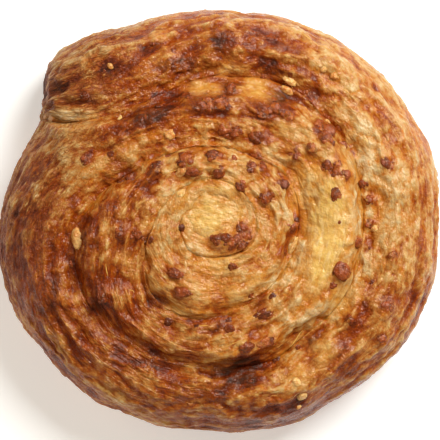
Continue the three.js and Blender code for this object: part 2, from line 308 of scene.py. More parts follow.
crumbs = {
    "seed": 7, "rings": 8, "spokes": 12, "dent": 1.0,
    "scale": 1.15, "flatness": 0.38, "sink": 0.3, "skirt": 0.7,
    "satellites": 4, "satelliteOffset": 0.36, "satelliteSize": (0.4, 0.68),
    "scattered": 8, "perPatch": 1, "looseSize": (1.2, 2.6),
    # browning: its range, how much less on the east, and how much more in the browned places
    "bakes": (0.52, 0.84), "eastPaler": 0.06, "patchDarker": 0.12,
    "creamRings": 12, "creamSpokes": 18, "creamDent": 0.8, "creamHeight": 0.8, "creamSink": 0.25,
    "creamBakes": (0, 0.22),
    # browned lumps: x, y, size along and across the strip
    "browned": [
        [18.5, 16.5, 2.8, 2.5], [42.5, 14, 2.8, 2.3], [17, 25.5, 3.3, 2.3], [9, 20, 3, 2.8],
        [0.5, 22, 3, 2.8], [3, 21.5, 3, 2.5], [8.5, 15.5, 3, 2], [7.5, 12.5, 2.5, 2.3],
        [10, 12.5, 2.3, 2], [4.5, 7.5, 2.5, 2], [15.5, 8.5, 2.3, 2.3], [11.5, 5, 3.3, 2.8],
        [23, 17.5, 2.3, 2.3], [29.5, 13, 2, 2], [27, 12.5, 3, 2], [29, 11, 2, 2], [31.5, 10.5, 2.3, 2.3],
        [29, 5.5, 2.5, 2.5], [38, 4.5, 2, 2], [-5.5, 28, 2.8, 2.5], [-3.5, 28, 2.8, 2.8],
        [-1, 28.5, 2.8, 2.5], [0, 29.5, 2.3, 2.3], [-4, 29.5, 2.3, 2], [2, 32.5, 2.3, 3.3],
        [-2, 15.5, 3, 3], [-9.5, 14.5, 3.6, 3], [-7.5, 11.5, 3.3, 2.3], [-1, 11, 2.5, 3],
        [-17, 12.5, 2.5, 2.3], [-35, 31, 2, 1.8], [-26, -4.5, 3, 2.3], [-22, -5, 2.3, 2.3],
        [-12, -15, 3.6, 2.3], [-10, -19.5, 3.6, 2.3], [-1.5, -6, 2.5, 2.3], [0.5, -5.5, 2.3, 2.3],
        [2, -7, 2.5, 2.3], [3.5, -6, 2.3, 2], [5, -7.5, 2.5, 2], [6, -5, 2.5, 2.3], [5, -3, 2.3, 2.3],
        [2.5, -13, 1.8, 1.8], [18, -2.5, 2.5, 2.3], [34.5, -6.5, 2.8, 2.5], [30.5, -14, 4.3, 3.8],
        [42, -23, 2.8, 2.5], [11, -32.5, 3.6, 2], [6, -33.5, 3.3, 2.5], [10.5, -25, 3.8, 2.3],
        [12.5, -32, 2.5, 2], [36.5, 8.5, 2, 1.8], [38, -1.5, 2, 1.8], [27.5, 22, 3.6, 2.8],
        [25, 23.5, 2.8, 2.5], [26.5, 20, 2.5, 2.3], [11.5, 27, 4.1, 2.5], [13.5, 28, 2.8, 2.3],
        [10, 26, 2.3, 1.8], [-19, -5.5, 3, 2.3], [-30.5, -21, 2.3, 2], [44, -10, 2, 1.8], [41, -31, 2, 2],
        [33, -26.5, 2, 2],
    ],
    # cheese that has stayed cream: x, y, size along and across the strip
    "cream": [
        [-13.5, 20.5, 2.8, 2.8], [-37, -5.5, 5.6, 3.3], [21, -45.5, 3.3, 2.8], [19, -42.5, 2.5, 2.5],
        [29, 36.5, 2.6, 2.2], [26.5, 38, 2, 2], [17.5, 35, 3.6, 1.8], [16.5, 33, 3.8, 1.8],
        [-10.5, 11.5, 3.8, 2.5], [-10.5, 5.5, 3.2, 2.3], [37, 20, 3.8, 1.3], [27.5, 24.5, 2, 1.5],
        [18, -7.5, 4.8, 2], [39.5, -3, 2, 1.8], [-26.5, 25, 2, 1.5], [20, -48.5, 1.5, 1.3],
        [-28.5, 39, 1.5, 2],
    ],
}


# Dough

dough = {
    "step": 0.63, "ring": 100, "tailCap": 2.2, "coreCap": 0.8, "capRows": 8, "capTear": 1.1,
    # heights of the relief
    "swell": 1.8, "lump": 1.4, "fold": 0.75, "pleat": 1.2, "strand": 0.15, "bubble": 0.9, "pit": 0.3,
    "flake": 0.5, "torn": 4.5, "tornReach": 0.045, "puff": 0.35, "bridge": 1.0, "seamWidth": 2.4,
    # share of the relief that shows on the outer side and is held back on the rim's shoulder
    "sideRelief": 0.55, "shoulderCalm": 0.45,
    # browned places: x, y, size along and across the strip, amount
    "browned": [
        [-40.5, 36.5, 5, 6, 0.9], [-38.5, 31, 3, 3, 0.5], [-43, 30, 3, 3, 0.8], [-29, 38, 5, 3.6, 0.6],
        [-24.5, 40.5, 3.6, 2.5, 0.6], [-17.5, 44, 4.6, 3, 0.7], [-14, 43, 3.6, 2, 0.6],
        [-8, 45.5, 4, 3, 0.5], [0, 46, 5, 4, 0.9], [1, 42, 4, 3.6, 0.4], [8.5, 46, 3.6, 2, 0.2],
        [14.5, 44.5, 5, 3, 0.6], [20, 42, 3.6, 3, 0.6], [13.5, 38, 8.6, 2.5, 0.8],
        [20, 36.5, 4, 2.5, 0.7], [21, 31, 4, 2, 0.5], [-21, 25.5, 4.6, 3, 0.9],
        [-15.5, 28.5, 5, 3.6, 0.9], [-24.5, 23.5, 4.6, 2.5, 0.8], [-12, 31.5, 4, 2.5, 0.7],
        [-26, 10.5, 6, 5.6, 1.0], [-34.5, 15, 4, 2.5, 0.6], [-23, 10.5, 5, 5, 0.9], [-28, 2, 6, 4, 1.0],
        [-37.5, 4, 6, 2.5, 0.5], [-17.5, -9.5, 8, 3, 0.55], [-16.5, -22.5, 4, 4, 0.8],
        [-11.4, -15, 5, 3.6, 0.45], [15.5, -17, 5, 4, 0.5], [-12.5, -27, 3.6, 2.5, 0.6],
        [-9.5, -27.5, 4, 2.3, 0.6], [-1.5, -28, 9, 3, 1.2], [1.5, -27.5, 4, 2.5, 0.6],
        [10.5, -20.5, 5, 3, 0.8], [8, -21, 5, 2, 0.6], [-37.5, -13, 5.6, 2.5, 0.7],
        [-32.5, -22, 5, 4, 0.6], [-26, -25.5, 4.6, 3.6, 0.5], [-18, -38, 7, 3, 0.7],
        [-23.5, -34, 5.6, 2.3, 0.5], [-33.5, -5, 8, 3.6, 0.9], [15.5, -9, 6, 1.3, 0.8],
        [19, -1.5, 4.6, 2, 0.8], [38, -6.5, 4.6, 2.3, 0.7], [39, -16.5, 4.6, 1.8, 0.7],
        [36, -23, 3.3, 2.3, 0.7], [34.5, -6.5, 3, 2.5, 0.4], [23, -30, 7, 4.5, 1.1],
        [18.5, -32.5, 6, 2.5, 0.8], [11, -37, 8.6, 3, 0.8], [6, -41.5, 8, 4, 0.9],
        [30.5, -33.5, 4.6, 3.8, 0.6], [25, -41.5, 3, 2.5, 0.6], [26, -19.5, 3.6, 2.3, 0.5],
        [51.5, -8.5, 10, 2.3, 0.5], [50, -20.5, 3.6, 2, 0.5], [11.5, 26.5, 6.6, 2.8, 0.6],
        [26.5, 22, 6, 4.6, 0.6], [-3, 28, 9, 4.6, 0.5], [1.5, -6.5, 10, 4, 0.4], [-42, -20, 9, 6, 0.7],
        [-45, -26.5, 7.6, 4, 0.4], [-28.5, -36.5, 10, 4, 0.4], [-5.5, -45.5, 15, 3.6, 0.4],
        [52.5, 7, 9, 2.2, 0.5], [13, 27.5, 5, 3, 0.5], [-15, 29.5, 5, 3, 0.9], [-34, -15, 9, 6, 0.4],
        [-17.5, -37.5, 7, 4, 0.9], [-25, -36, 9, 5, 0.4], [-14, 20, 12, 7, 0.35],
        [-19.5, 25.5, 12, 4.5, 1.8], [-44, 34, 7, 8, 1.6], [6.5, -40, 10, 5.5, 1.9], [1, -45, 9, 4, 0.55],
        [15, 37.5, 8, 3, 1.0], [15.5, 31, 6, 5, 1.2], [-12, 38, 7, 4, 0.7], [-21, 6.5, 11, 7, 0.75],
        [-12, -4, 5, 5, 0.6], [23, 33, 10, 5, 0.8], [-8, 30, 7, 5, 0.5], [33, 20, 8, 6, 0.65],
        [29, 25, 7, 5, 0.6], [29, 38.5, 8, 4, 0.4], [43, 24, 8, 4, 0.7], [29, 17, 6, 4, 0.6],
        [34, 30, 10, 7, 0.45], [18, -18, 8, 5, 0.55], [33, -38, 10, 5, 0.6], [2, 48.5, 16, 3.5, 0.3],
        [-46, -20, 10, 6, 0.55], [14, -50, 14, 4, 0.5],
    ],
    # places that have stayed pale
    "pale": [
        [-4.5, 33, 6, 3.8, 0.6], [9, 32.5, 8.6, 5, 0.65], [0, 0.5, 12, 12, 0.7], [27, -1, 15, 6.6, 0.9],
        [26.5, -10, 12, 5.6, 0.9], [21, -13, 7, 5, 0.3], [26, -34, 9, 6, 0.5], [21, -39, 10, 6.6, 0.5],
        [32.5, 14.5, 6.6, 4.6, 0.3], [27.5, 39.5, 10, 6, 0.6], [42.5, 1.5, 22, 4.6, 0.5],
        [45, 14.5, 15, 3.6, 0.5], [7, -26, 7.6, 3, 0.5], [-5.5, -18.5, 10, 6, 0.6], [0, -12, 12, 5, 0.6],
        [22, 6, 7, 7, 0.5], [2, -21, 6, 5, 0.5], [-10.5, -23.5, 7.6, 3, 0.5], [-34.5, 25, 10, 2.5, 0.4],
        [-41, 23, 8, 6, 0.55], [2, 17, 10, 4, 0.2], [22.5, 9.5, 6, 6, 0.8], [15, 23.5, 5, 3, 0.4],
        [-19, -3.5, 5, 4, 0.35], [-25.5, -10.5, 5, 4, 0.35], [-5.5, 8, 7.6, 3, 0.5],
        [36.5, -32.5, 6.6, 4.6, 0.4], [32, -21, 8, 6, 0.8], [-18.5, -17, 6, 4, 0.45],
        [8.5, -16, 6, 3, 0.4], [-8, -24, 8, 3, 0.45], [-18, -30, 7, 4, 0.4], [-5, -37, 11, 4, 0.45],
        [-49, -10, 8, 4, 0.35], [-33, 31, 6, 5, 0.3], [-32.5, 3.5, 4, 4, 0.3], [2, 38, 6, 4, 0.7],
        [-15.5, 39.5, 15, 3.6, 0.2],
    ],
    # cheese that has run out over the dough
    "cheesy": [
        [-4.3, 33, 5, 3.4, 0.65], [9.2, 32.4, 7, 4.6, 0.6], [-2.6, 0.2, 9, 9, 1], [27, -1, 15, 7, 1.2],
        [26, -11.6, 11, 5, 1], [27.5, -6, 12, 6, 1.2], [26.2, -35, 9, 5, 0.45], [21, -40, 8, 5.5, 0.45],
        [21, -14, 7, 4, 0.5], [-10, 5.5, 5, 3.6, 0.6], [30, 13, 7, 4, 0.5], [-8, -12, 9, 4, 0.5],
    ],
}


# the cross-section at each turn as a closed loop of fine points: up the outer side on a quarter ellipse,
# over both flanks, each a quarter ellipse beside an open seam and a soft sine where the turns have joined,
# then straight down the inner wall and back along the base
def doughProfile(turn):
    t = turn[:, None]
    outer, inner, crest, cover = outerRadius(t), innerRadius(t), crestHeight(t), covered(t)
    seamSide = np.maximum(t - 1, 0)
    outerEdge = coil["bellyHeight"] * (1 - cover) + floorHeight(seamSide) * cover
    innerEdge = np.where(t < 3, floorHeight(t), crest - coil["eyeDepth"])
    seamFlank = coil["seamFlank"] + gape(seamSide, "innerFlank")
    outerFlank = coil["rimShoulder"] * (1 - cover) + seamFlank * cover
    innerFlank = coil["seamFlank"] + gape(t, "outerFlank")
    outerSteep = 1 - cover * (1 - openSeam(seamSide))
    innerSteep = openSeam(t)
    width = outer - inner
    fit = np.minimum(1, width / (outerFlank + innerFlank))
    outerFlank, innerFlank = outerFlank * fit, innerFlank * fit
    foot = coil["footInset"] * (1 - cover)

    up = np.linspace(0, np.pi / 2, 40, endpoint=False)
    rise = np.linspace(0, 1, 60, endpoint=False) ** 2
    flat = np.linspace(0, 1, 12, endpoint=False)
    reach = np.concatenate([outerFlank * rise, outerFlank + (width - outerFlank - innerFlank) * flat,
                            width - innerFlank * np.linspace(1, 0, 60) ** 2], 1)
    outerShare = np.clip(reach / outerFlank, 0, 1)
    innerShare = np.clip((width - reach) / innerFlank, 0, 1)
    flank = lambda share, steep: (np.sqrt(1 - (1 - share) ** 2) * steep
                                  + np.sin(np.pi / 2 * share) ** 2 * (1 - steep))
    outerLift, innerLift = flank(outerShare, outerSteep), flank(innerShare, innerSteep)
    top = crest - (crest - outerEdge) * (1 - outerLift) - (crest - innerEdge) * (1 - innerLift)
    down, back = np.linspace(0, 1, 16)[1:], np.linspace(0, 1, 20)[1:]
    one = np.ones_like(t)
    radius = np.concatenate([outer - foot * (1 - np.sin(up)), outer - reach, inner * np.ones(len(down)),
                             inner + (outer - foot - inner) * back], 1)
    height = np.concatenate([outerEdge * (1 - np.cos(up)), top, innerEdge * (1 - down), 0 * back * one], 1)
    across = np.concatenate([0.4 * (np.sin(up) - 1) * one, reach / width,
                             (1 + down) * one, (2 + back) * one], 1)
    # how much relief shows, and how closely the points are set
    edge = smooth(np.minimum(outerShare + 1 - cover, innerShare), 0, 0.25)
    calm = dough["shoulderCalm"] * (1 - cover) * (1 - smooth(reach / width, 0, 0.35))
    show = np.concatenate([dough["sideRelief"] * smooth(up, 0, 0.5) * (1 - cover),
                           (0.1 + 0.9 * edge) * (1 - calm), 0 * down * one, 0 * back * one], 1)
    dense = np.concatenate([1 - 0.9 * cover + 0 * up, 1 + 0 * reach,
                            (0.1 + 0 * down) * one, (0.3 + 0 * back) * one], 1)
    return radius, height, across, show, dense


# the profile's points moved to even steps of weighted length round the section, with the distance of each
# from the inner edge
def evenRing(turn, count):
    radius, height, across, show, dense = doughProfile(turn)
    step = np.hypot(np.diff(radius, axis=1), np.diff(height, axis=1))
    true = np.concatenate([np.zeros((len(turn), 1)), np.cumsum(step, 1)], 1)
    weighted = np.concatenate([np.zeros((len(turn), 1)), np.cumsum(step * dense[:, 1:], 1)], 1)
    share = weighted / weighted[:, -1:]
    row = np.arange(len(turn))[:, None] * 2.0
    query = (np.linspace(0, 1, count, endpoint=False)[None, :] + row).ravel()
    known = (share + row).ravel()
    innerEdge = np.argmax(across >= 1, 1)
    fromInner = true[np.arange(len(turn)), innerEdge][:, None] - true
    fields = (radius, height, across, show, fromInner)
    return [np.interp(query, known, field.ravel()).reshape(len(turn), count) for field in fields]


# the highest of some bell curves, each an ellipse in plan that lies along the strip
def patches(places, x, y):
    total = np.zeros_like(x)
    for px, py, along, across, amount in places:
        angle = np.arctan2(py - axisY, px - axisX)
        outwards = (x - px) * np.cos(angle) + (y - py) * np.sin(angle)
        onwards = (y - py) * np.cos(angle) - (x - px) * np.sin(angle)
        bell = amount * np.exp(-(onwards / along * 1.3) ** 2 - (outwards / across * 1.3) ** 2)
        total = np.maximum(total, bell)
    return total


# the strip's end rows shrink on a quarter circle to a point, torn by noise
def cappedRows(points, depth, rows, atStart):
    end, inwards = (points[0], points[1]) if atStart else (points[-1], points[-2])
    middle = end.mean(0)
    way = middle - inwards.mean(0)
    way = way / np.linalg.norm(way)
    angle = np.linspace(0, np.pi / 2, rows + 1)[1:-1][:, None, None]
    caps = middle + (end - middle) * np.cos(angle) + way * depth * np.sin(angle)
    tear = layered(caps[..., 0] / 2.5, caps[..., 1] / 2.5, caps[..., 2] / 2.5, 3, 75) - 0.5
    caps = caps + way * (dough["capTear"] * depth * tear * np.sin(2 * angle[..., 0]))[..., None]
    caps[..., 2] = np.maximum(caps[..., 2], 0)
    return (caps[::-1] if atStart else caps), middle + way * depth


# tone over the plan, 0 pale yellow to 1 nearly black: browning with painted shade and light in it; a base
# for each side of the swirl, in soft blotches, raised in the browned places and lowered in the pale ones,
# whose edges are ragged; with the pale places and those that cheese has run over
def planTones(x, y, z):
    radial = np.hypot(x - axisX, y - axisY) + 0.01
    northEast = ((x - axisX) * 0.77 + (y - axisY) * 0.64) / radial
    south = (axisY - y) / radial
    ragged = 2.4 * (layered(x / 4, y / 4, z / 4, 3, 81) - 0.5)
    burnt = patches(dough["browned"], x, y) * (1 + ragged)
    char = smooth(burnt, 0.18, 0.6) + 1.2 * smooth(burnt, 0.85, 1.3)
    cream = smooth(patches(dough["pale"], x, y) * (1 + ragged), 0.08, 0.7)
    rim, within = smooth(radial, 38, 50), smooth(48 - radial, 0, 8)
    cheesy = smooth(patches(dough["cheesy"], x, y) * (1 + 0.5 * ragged), 0.1, 1)
    cheesy = np.maximum(cheesy, 0.45 * cream * within)
    # the inside is darker on the west, the south-west and the north, and paler on the east and the middle:
    # browning, with painted shade on the west and south-west, away from the key softbox, and painted light
    # on the east, towards it
    region = 0.4 + 0.05 * smooth(-x, 10, 40)
    region = region + 0.06 * smooth(-0.7 * (x + y), 12, 34) * (1 + 1.8 * within)
    region = region + 0.11 * smooth(y, 10, 32) * within
    region = region - (0.12 * smooth(x, 5, 20) + 0.04 * smooth(x, 22, 30)) * within
    region = region + 0.08 * smooth(y, 28, 40) * smooth(x, -15, 0) - 0.05 * smooth(26 - radial, 0, 18)
    # the rim is darkest on the south and the west, away from the key softbox: browning and painted shade
    rimBrowningAndShade = 0.14 * smooth(np.maximum(south, -0.9 * northEast), -0.4, 0.5)
    rimBrowningAndShade = rimBrowningAndShade - 0.03 * smooth(northEast, 0.5, 0.95)
    rimBrowningAndShade = rimBrowningAndShade + 0.12 * smooth(-south, 0.75, 0.97) - 0.05 * smooth(-x - np.abs(y - 44), 14, 30)
    rimBrowningAndShade = rimBrowningAndShade + 0.02 * smooth(0.7 * (x - y), 40, 48) + 0.03 * smooth(x, 40, 50)
    bake = region + rim * rimBrowningAndShade + 0.12 * (layered(x / 9, y / 9, z / 9, 3, 85) - 0.5)
    bake = bake * (1 - 0.62 * cream) + 0.12 * cream + 0.2 * char
    return {"bake": bake, "cream": cream, "cheesy": cheesy}


# the strip: its section carried along the coil, each point then moved along its normal by the relief, a sum
# of noises. t is the turn, s the length along the strip and q the distance from its inner edge
def makeDough():
    turn, along = coilPath(coil["start"], coil["end"], dough["step"])
    radius, height, across, show, q = evenRing(turn, dough["ring"])
    t, s = turn[:, None], along[:, None]
    points = inPlan(t, radius, height)
    x, y, z = points[..., 0], points[..., 1], points[..., 2]
    radial = np.hypot(x - axisX, y - axisY)

    # folds, strands, pleats and pits run along the strip, and swells, lumps and bubbles in all directions
    warp = 4.0 * (noise(s / 9, q / 6, 0, 3) - 0.5) + 2.2 * (noise(s / 4, q / 3, 0, 4) - 0.5)
    fold = lines(s / 10, (q + warp) / 2.8, 0, 1.5, 11)
    strand = lines(s / 5, (q + warp) / 1.4, 0, 2, 21)
    pleat = (lines(s / 20, (q + 0.6 * warp) / 3.4, 0, 1.2, 23) - 0.5) * smooth(radial, 36, 44)
    swell = layered(x / 15, y / 15, z / 15, 2, 40)
    lump = layered(x / 4.2, y / 4.2, z / 4.2, 3, 41)
    bubble = np.clip(1 - cells(x / 2.4, y / 2.4, z / 2.4, 51) * 1.2, 0, 1)
    mottle = smooth(layered(x / 11, y / 11, z / 11, 2, 61), 0.35, 0.65)
    pit = smooth(noise(s / 2.6, (q + warp) / 1.3, 0, 71), 0.7, 0.9)
    pit = pit * smooth(noise(x / 5, y / 5, z / 5, 72), 0.35, 0.7)
    # the outer side flakes in leaves, and the tail is torn
    outside = (1 - covered(t)) * smooth(0.35 - across, 0, 0.35) * smooth(1.5 - across, 0, 0.1)
    leaf = ((q + 1.2 * warp) / 1.9) % 1
    flake = outside * leaf ** 2 * smooth(noise(s / 11, q / 4, 0, 73), 0.35, 0.65)
    torn = np.exp(-(t / dough["tornReach"]) ** 2) * (layered(x / 3, y / 3, z / 3, 3, 74) - 0.45)
    # the dough rises to the browned crumbs, and is calmer where it is pale, cheesy or in the middle
    skirt = patches([[*place, 1.0] for place in crumbs["browned"]], x, y)
    halo = patches([[px, py, 1.7 * a, 1.7 * b, 1.0] for px, py, a, b in crumbs["browned"]], x, y)
    tones = planTones(x, y, z)
    cream, cheesy = tones["cream"], tones["cheesy"]
    fine = dough["lump"] * (lump - 0.5) + dough["fold"] * (fold - 0.55) + dough["strand"] * (strand - 0.5)
    fine = fine + dough["pleat"] * pleat + dough["bubble"] * (bubble * mottle - 0.1) - dough["pit"] * pit
    fine = fine + dough["flake"] * (flake - 0.15)
    fine = fine * (1 - 0.3 * cream) * (1 - 0.25 * cheesy) * (0.35 + 0.65 * smooth(radial, 5, 13))
    relief = fine + dough["swell"] * (swell - 0.5) + crumbs["skirt"] * (0.6 * skirt + 0.7 * halo)
    relief = relief + dough["torn"] * torn + dough["puff"] * cream
    # the seams, which take a warm painted shade, show less in the inner turns, and dough bridges them in
    # places
    wide = dough["seamWidth"]
    seam = smooth(wide - q, 0, wide) + covered(t) * smooth(wide - (outerRadius(t) - radial), 0, wide)
    seam = np.clip(seam, 0, 1) * (1 - 0.8 * smooth(t, 1.6, 2.1) * (1 - smooth(x, 3, 9)))
    bridge = smooth(layered(x / 6, y / 6, 0.5, 2, 77), 0.4, 0.6)
    bridge = np.maximum(bridge, 0.75 * smooth(-x - y, 30, 48))
    points = points + gridNormals(points) * (relief * show)[..., None]
    points[..., 2] = np.maximum(points[..., 2] + dough["bridge"] * bridge * seam * smooth(show, 0, 0.06), 0)
    seam = seam * (1 - 0.7 * bridge)

    # painted shade and light: the hollows of the relief and of the torn tail are darker and the crests
    # paler, the dough round the crumbs is browner, and the hollows and seams take a warm painted shade
    bake = tones["bake"] - (0.17 * fine + 0.5 * torn) * (1 - 0.7 * cream) + 0.12 * skirt + 0.12 * halo
    red = np.maximum(smooth(0.25 - fine, 0, 0.8), 0.7 * seam) * (1 - 0.3 * cream)

    startCap, startPole = cappedRows(points, dough["tailCap"], dough["capRows"], True)
    endCap, endPole = cappedRows(points, dough["coreCap"], dough["capRows"], False)
    grid = np.concatenate([startCap, points, endCap])
    rows, ring = grid.shape[:2]
    quads, triangles = tubeFaces(rows, ring)
    flat = lambda field: withPoles(np.pad(field, ((len(startCap), len(endCap)), (0, 0)), mode="edge"))
    uv = np.stack([flat(np.broadcast_to(s, q.shape)), flat(q)], -1) / 100
    fields = {"bake": flat(bake), "red": flat(red), "cheesy": flat(cheesy), "seam": flat(seam)}
    corners = np.concatenate([grid.reshape(-1, 3), [startPole, endPole]])
    piece = meshPiece("layeredDough", corners, quads, triangles, fields, uv)
    print("dough", rows, "rows of", ring, "points,", 2 * len(quads) + len(triangles), "triangles")
    return piece, points, gridNormals(points)


# Cheese between the turns

filling = {
    "start": 0.055, "end": 2.99, "step": 1.1, "ring": 22,
    "overlap": 0.45, "sink": 0.3, "hidden": 1.2, "crown": 0.4, "lump": 1.6,
    "softTurn": 0.19, "softReach": 0.07,  # where the cheese has stayed yellow
}


# a closed band: straight walls that reach into the dough, and a lumpy crown across the slot
def makeFilling():
    turn, along = coilPath(filling["start"], filling["end"], filling["step"])
    t = turn[:, None]
    half = np.maximum(slotAt(t), 0) + filling["overlap"]
    yellow = np.exp(-((t - filling["softTurn"]) / filling["softReach"]) ** 2)
    top = floorHeight(t) - filling["sink"] - filling["hidden"] * (1 - np.maximum(yellow, openSeam(t)))
    side = np.linspace(1, -1, filling["ring"] - 2)[None, :]
    radius = np.concatenate([seamRadius(t) + half, seamRadius(t) + half * side, seamRadius(t) - half], 1)
    height = np.concatenate([0 * t, top + filling["crown"] * (1 - side ** 2), 0 * t], 1)
    points = inPlan(t, radius, height)
    x, y, z = points[..., 0], points[..., 1], points[..., 2]
    bump = filling["lump"] * (layered(x / 2.4, y / 2.4, z / 2.4, 3, 5) - 0.45)
    points[:, 1:-1, 2] += (bump * openSeam(t))[:, 1:-1]

    tones = planTones(x, y, z)
    # away from the yellow place the band is browner, with the dough's warm painted seam shade
    brown = 1 - yellow + 0 * x
    fields = {"bake": withPoles(tones["bake"] + 0.2 * brown), "red": withPoles(0.2 + 0.3 * brown),
              "cheesy": withPoles(tones["cheesy"]), "seam": withPoles(0.6 * brown)}
    uv = np.stack([withPoles(along[:, None] + 0 * x), withPoles(radius)], -1) / 100
    quads, triangles = tubeFaces(*points.shape[:2])
    corners = np.concatenate([points.reshape(-1, 3), [points[0].mean(0), points[-1].mean(0)]])
    print("cheese band", len(quads), "faces")
    return meshPiece("cheeseBand", corners, quads, triangles, fields, uv)


eye = {
    "rings": 40, "spokes": 96, "centre": (-2.8, 0.2), "reachX": 10.5, "reachY": 8.5,
    "height": 32.9, "lump": 1.1, "bow": 0.5, "edgeDrop": 1.4,
}


# the pool at the middle: an oval lid that sinks into the dough round its uneven edge, closed by a wall and
# a flat base
def makeEye():
    share = np.linspace(0.03, 1, eye["rings"])[:, None]
    angle = np.linspace(0, -2 * np.pi, eye["spokes"], endpoint=False)[None, :]
    x = eye["centre"][0] + eye["reachX"] * share * np.cos(angle)
    y = eye["centre"][1] + eye["reachY"] * share * np.sin(angle)
    bump = eye["lump"] * (layered(x / 3, y / 3, 0.3, 3, 15) - 0.5)
    ebb = share + 0.5 * (layered(x / 3.4, y / 3.4, 0.9, 3, 17) - 0.5)
    height = eye["height"] + bump - eye["bow"] * ebb ** 2 - eye["edgeDrop"] * smooth(ebb, 0.55, 1.25)
    lid = np.stack([x, y, height], -1)
    wall = lid[-1:] * np.array([1, 1, 0])
    points = np.concatenate([lid, wall])

    flat = lambda field: withPoles(np.concatenate([field, field[-1:]]))
    tones = planTones(x, y, height)
    fields = {"bake": flat(tones["bake"]), "red": flat(0.3 * smooth(ebb, 0.3, 0.9)),
              "cheesy": flat(0.85 * tones["cheesy"]), "seam": flat(0 * x)}
    uv = np.stack([flat(x), flat(y)], -1) / 100
    quads, triangles = tubeFaces(*points.shape[:2])
    corners = np.concatenate([points.reshape(-1, 3), [lid[0].mean(0), wall[0].mean(0)]])
    print("cheese eye", len(quads), "faces")
    return meshPiece("cheeseEye", corners, quads, triangles, fields, uv)


# Crumbs on top

# unit balls on a grid of rings and spokes, one for each centre, dented by noise, stretched along, across and
# up, and laid along the strip
def blobs(name, centres, normals, ways, sizes, bakes, rings, spokes, dent):
    v = np.linspace(0, np.pi, rings + 2)[1:-1][:, None]
    u = np.linspace(0, 2 * np.pi, spokes, endpoint=False)[None, :]
    ball = np.stack([np.sin(v) * np.cos(u), np.sin(v) * np.sin(u), np.cos(v) * np.ones_like(u)], -1)
    ball = np.concatenate([ball.reshape(-1, 3), [[0, 0, 1], [0, 0, -1]]])
    bx, by, bz = ball.T[:, None]
    shift = np.arange(len(centres))[:, None] * 5.37  # another part of the noise for each
    rough = 1 + dent * (layered(bx * 1.5 + shift, by * 1.5, bz * 1.5, 3, 3) - 0.5)
    bake = bakes[:, None] + 0.5 * (layered(bx * 2 + shift, by * 2, bz * 2, 2, 8) - 0.5)
    local = ball[None] * rough[..., None] * sizes[:, None, :] / 2
    sides = np.cross(normals, ways)
    points = centres[:, None]
    for axis, direction in enumerate((ways, sides, normals)):
        points = points + local[..., axis:axis + 1] * direction[:, None]
    quads, triangles = tubeFaces(rings, spokes)
    offset = (np.arange(len(centres)) * len(ball))[:, None, None]
    return meshPiece(name, points.reshape(-1, 3), (quads[:, ::-1][None] + offset).reshape(-1, 4),
                     (triangles[:, ::-1][None] + offset).reshape(-1, 3), {"bake": bake})


# the dough's surface over each place in plan: the nearest of its points that face up, a normal half way to
# straight up, and the strip's way there
def onTop(places, doughPoints, doughNormals):
    up = doughNormals[..., 2] > 0.25
    points, normals = doughPoints[up], doughNormals[up]
    gap = (points[None, :, 0] - places[:, :1]) ** 2 + (points[None, :, 1] - places[:, 1:2]) ** 2
    nearest = gap.argmin(1)
    normal = normals[nearest] * 0.5 + np.array([0, 0, 0.5])
    normal = normal / np.linalg.norm(normal, axis=1, keepdims=True)
    way = np.stack([places[:, 1] - axisY, axisX - places[:, 0], 0 * places[:, 0]], -1)
    way = way - normal * (way * normal).sum(1, keepdims=True)
    return points[nearest], normal, way / np.linalg.norm(way, axis=1, keepdims=True)


